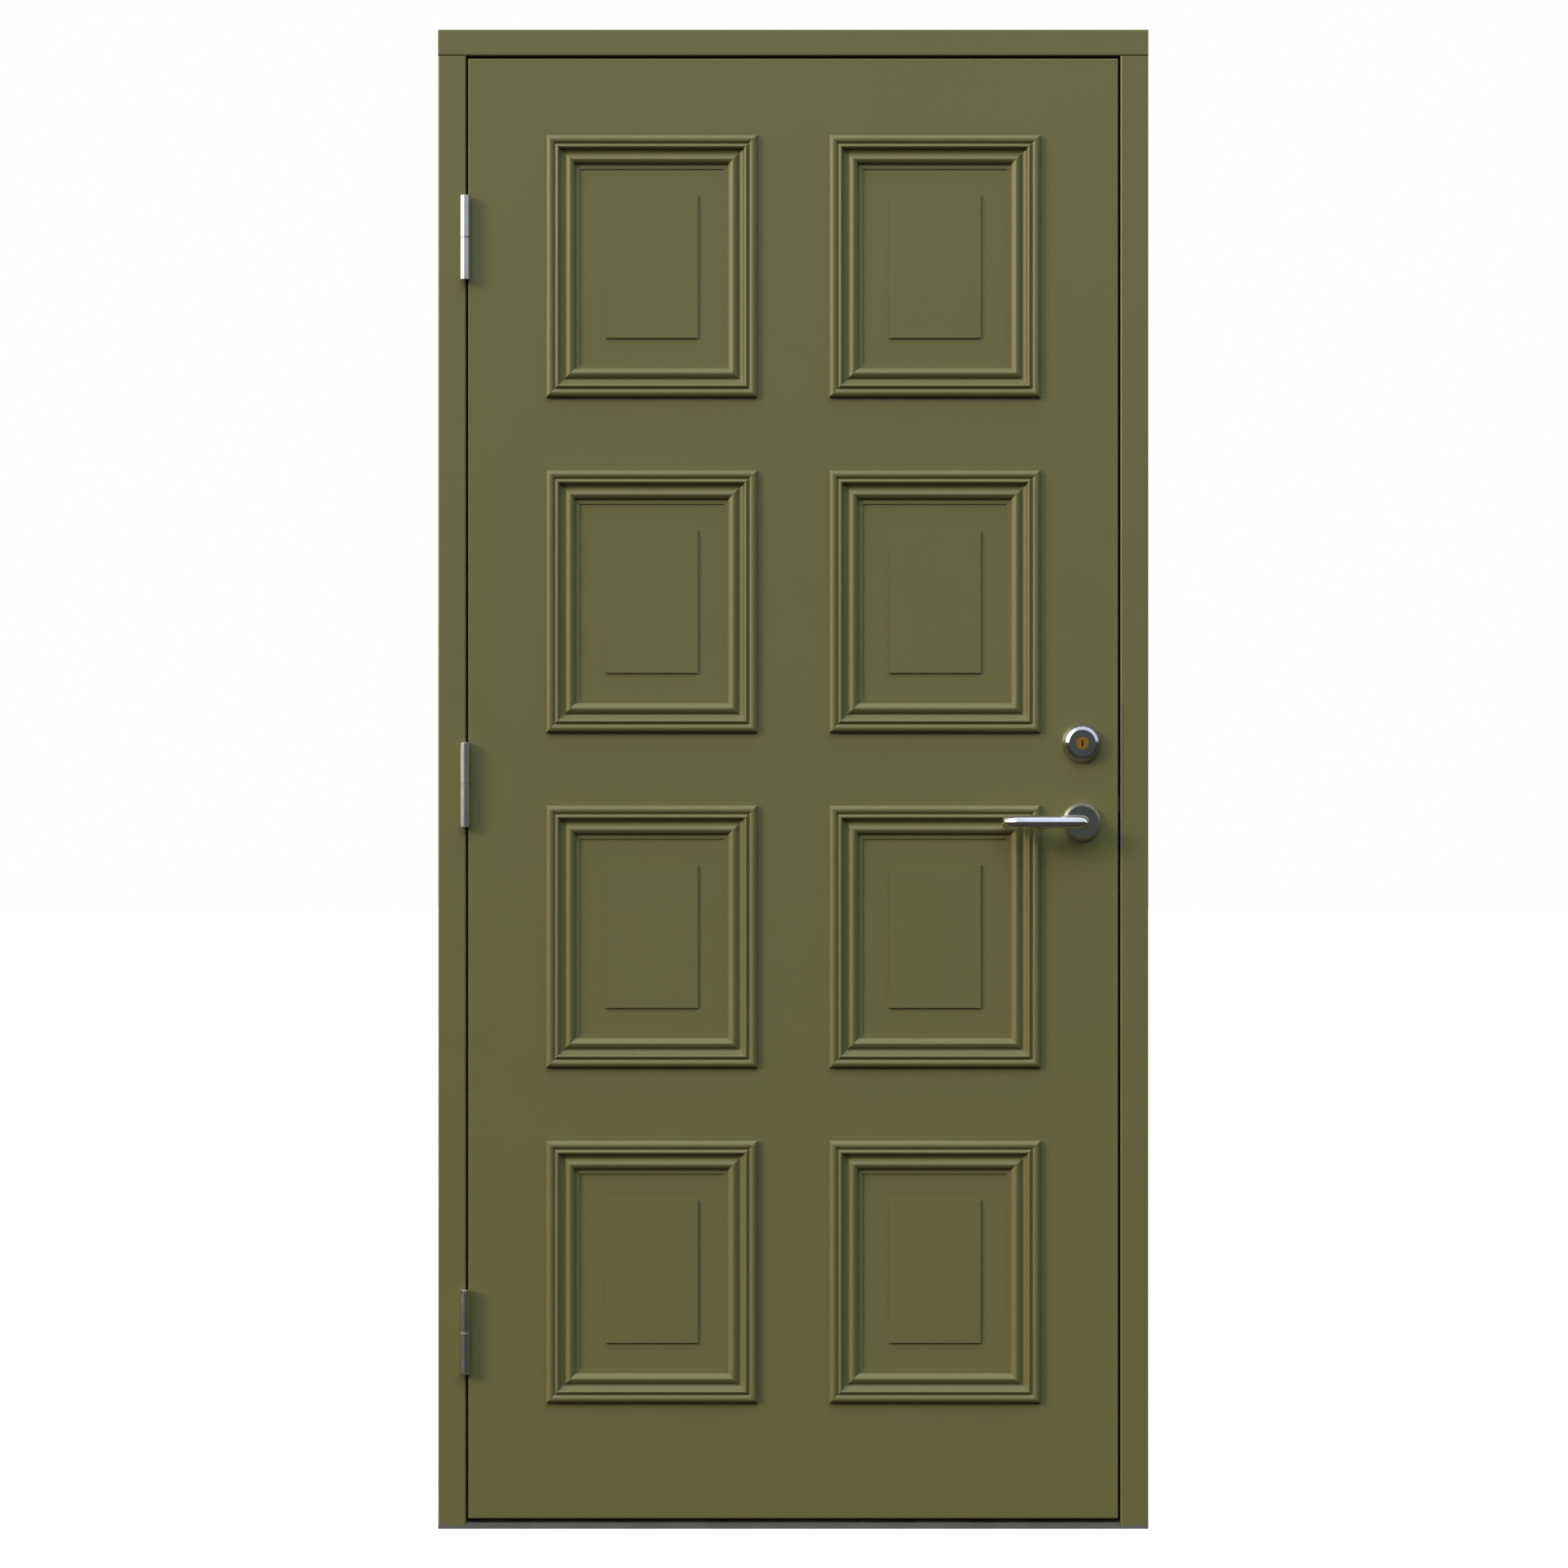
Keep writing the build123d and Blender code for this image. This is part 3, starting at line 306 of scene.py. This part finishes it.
# Lock
# A mortise lock: steel case, brushed stainless forend and strike, and steel bolts and inner parts.
stainless_dark = (0.120, 0.108, 0.085)
stainless_pale = (0.170, 0.152, 0.122)
brushed, brushed_tree, brushed_shader = finish("brushed_stainless", (0.145, 0.130, 0.104), 0.50, 0.55)
brush_lines = cloud(brushed_tree, place(brushed_tree, (40, 40, 1)), 55.0, 5.0)
brushed_tree.links.new(
    blend(brushed_tree, brush_lines, stainless_dark, stainless_pale), brushed_shader.inputs["Base Color"])
relief(brushed_tree, brushed_shader, brush_lines, 0.00003)
dress(brushed, "forend", "strike_plate", "lock_case")
dress(pin_steel, "deadbolt", "latch_bolt", "spindle", "latch_follower", "bolt_cam")
dress(screw_zinc, "strike_screws", "forend_screws")


# Levers and roses
# Bent round bar, polished and chromed, on roses that cover the lock's holes in the leaf.
chrome = bright_metal("polished_chrome", (0.78, 0.79, 0.81), (0.72, 0.73, 0.75), 0.09, 0.000002)
dress(chrome, "outer_lever", "inner_lever", "thumbturn")
dress(chrome, "outer_lever_rose", "inner_lever_rose", "thumbturn_rose")


# Cylinder
# A solid brass cylinder, chromed outside, in a hardened ring; the plug's face is bare brass.
cylinder_chrome = bright_metal("cylinder_chrome", (0.62, 0.62, 0.66), (0.50, 0.50, 0.54), 0.12, 0.000003)
plug_brass = bright_metal("plug_brass", (0.60, 0.31, 0.045), (0.42, 0.20, 0.03), 0.30, 0.00001)
dress(cylinder_chrome, "cylinder_rose", "cylinder_housing")
dress(plug_brass, "cylinder_plug")


# Lamps, floor and backdrop
# Three far lamps light the door: a warm one to the left, a cool one high over the front, and one from
# the room. The camera sees a white background. Gloss and metal don't: they see a bright warm panel to
# the left, a cool one overhead, a pale front, white behind, and a dim room and floor below the horizon.
def far_lamp(name, towards, width, strength, colour):
    """A lamp that lights the door evenly and no mirror shows; strength is the light on what faces it."""
    lamp = bpy.data.lights.new(name, "SUN")
    lamp.angle = radians(width)
    lamp.energy = pi * strength
    lamp.color = colour
    holder = bpy.data.objects.new(name, lamp)
    holder.rotation_mode = "QUATERNION"
    holder.rotation_quaternion = Vector(towards).to_track_quat("Z", "Y")
    holder.visible_glossy = False
    holder.visible_camera = False
    bpy.context.scene.collection.objects.link(holder)


far_lamp("warm_lamp", (-0.819, -0.438, 0.372), 19, 0.96, (1.0, 0.77, 0.67))
far_lamp("high_lamp", (0.0, -0.407, 0.914), 75, 1.03, (1.08, 1.25, 1.20))
far_lamp("room_lamp", (0.5, 0.7, 0.5), 30, 0.8, (1.0, 0.96, 0.90))


def larger(tree, first, second):
    """The larger of two sockets."""
    node = tree.nodes.new("ShaderNodeMath")
    node.operation = "MAXIMUM"
    for socket, value in zip(node.inputs, (first, second)):
        tree.links.new(value, socket)
    return node.outputs[0]


white = (1.0, 1.0, 1.0)
room_dim = (0.062, 0.070, 0.060)
left_panel = (7.0, 6.5, 5.1)
front_panel = (0.78, 0.84, 0.92)
high_panel = (0.98, 1.04, 1.22)
weak_light = (0.022, 0.022, 0.014)
room_light = (0.50, 0.49, 0.47)
front_from, front_to = sin(radians(2.0)), sin(radians(11.0))
high_from, high_to = sin(radians(25.0)), sin(radians(64.0))
left_from, left_to = -0.25, -0.60
behind_from, behind_to = -0.1, 0.3

world = bpy.data.worlds.new("studio")
bpy.context.scene.world = world
world.use_nodes = True
sky = world.node_tree
sky.nodes.clear()
aim = sky.nodes.new("ShaderNodeSeparateXYZ")
sky.links.new(sky.nodes.new("ShaderNodeTexCoord").outputs["Generated"], aim.inputs["Vector"])
above_horizon = spread(sky, aim.outputs["Z"], front_from, front_to)
to_the_left = spread(sky, aim.outputs["X"], left_from, left_to)
behind = spread(sky, aim.outputs["Y"], behind_from, behind_to)
high = spread(sky, aim.outputs["Z"], high_from, high_to)

panels = blend(sky, to_the_left, front_panel, left_panel)
low = blend(sky, above_horizon, room_dim, panels)
front = blend(sky, high, low, high_panel)
in_metal = blend(sky, behind, front, white)
on_matt = blend(sky, behind, weak_light, room_light)
path = sky.nodes.new("ShaderNodeLightPath").outputs
lit = blend(sky, path["Is Glossy Ray"], on_matt, in_metal)
plain = larger(sky, path["Is Camera Ray"], path["Is Transmission Ray"])
backdrop = sky.nodes.new("ShaderNodeBackground")
sky.links.new(blend(sky, plain, lit, white), backdrop.inputs["Color"])
out = sky.nodes.new("ShaderNodeOutputWorld")
sky.links.new(backdrop.outputs[0], out.inputs["Surface"])

floor_radius = 30.0
floor_sides = 96
floor_drop = 0.0005
floor_dark = (0.02, 0.02, 0.02)
floor_pale = (0.42, 0.42, 0.42)
glow_in_metal = (0.022, 0.013, 0.004)
glow_seen = (0.55, 0.55, 0.55)
floor_mesh = bmesh.new()
bmesh.ops.create_circle(floor_mesh, cap_ends=True, segments=floor_sides, radius=floor_radius)
floor_data = bpy.data.meshes.new("floor")
floor_mesh.to_mesh(floor_data)
floor_mesh.free()
floor = bpy.data.objects.new("floor", floor_data)
floor.location.z = -floor_drop
bpy.context.scene.collection.objects.link(floor)
floor_paint, floor_tree, floor_shader = finish("pale_floor", (0.5, 0.5, 0.5), 0.9)
floor_shader.inputs["Specular IOR Level"].default_value = 0.0
floor_path = floor_tree.nodes.new("ShaderNodeLightPath").outputs
floor_plain = larger(floor_tree, floor_path["Is Camera Ray"], floor_path["Is Transmission Ray"])
floor_glows = larger(floor_tree, floor_plain, floor_path["Is Glossy Ray"])
floor_tree.links.new(
    blend(floor_tree, floor_plain, floor_dark, floor_pale), floor_shader.inputs["Base Color"])
floor_tree.links.new(
    blend(floor_tree, floor_plain, glow_in_metal, glow_seen), floor_shader.inputs["Emission Color"])
floor_tree.links.new(floor_glows, floor_shader.inputs["Emission Strength"])
floor_data.materials.append(floor_paint)

bpy.context.scene.view_settings.view_transform = "Standard"
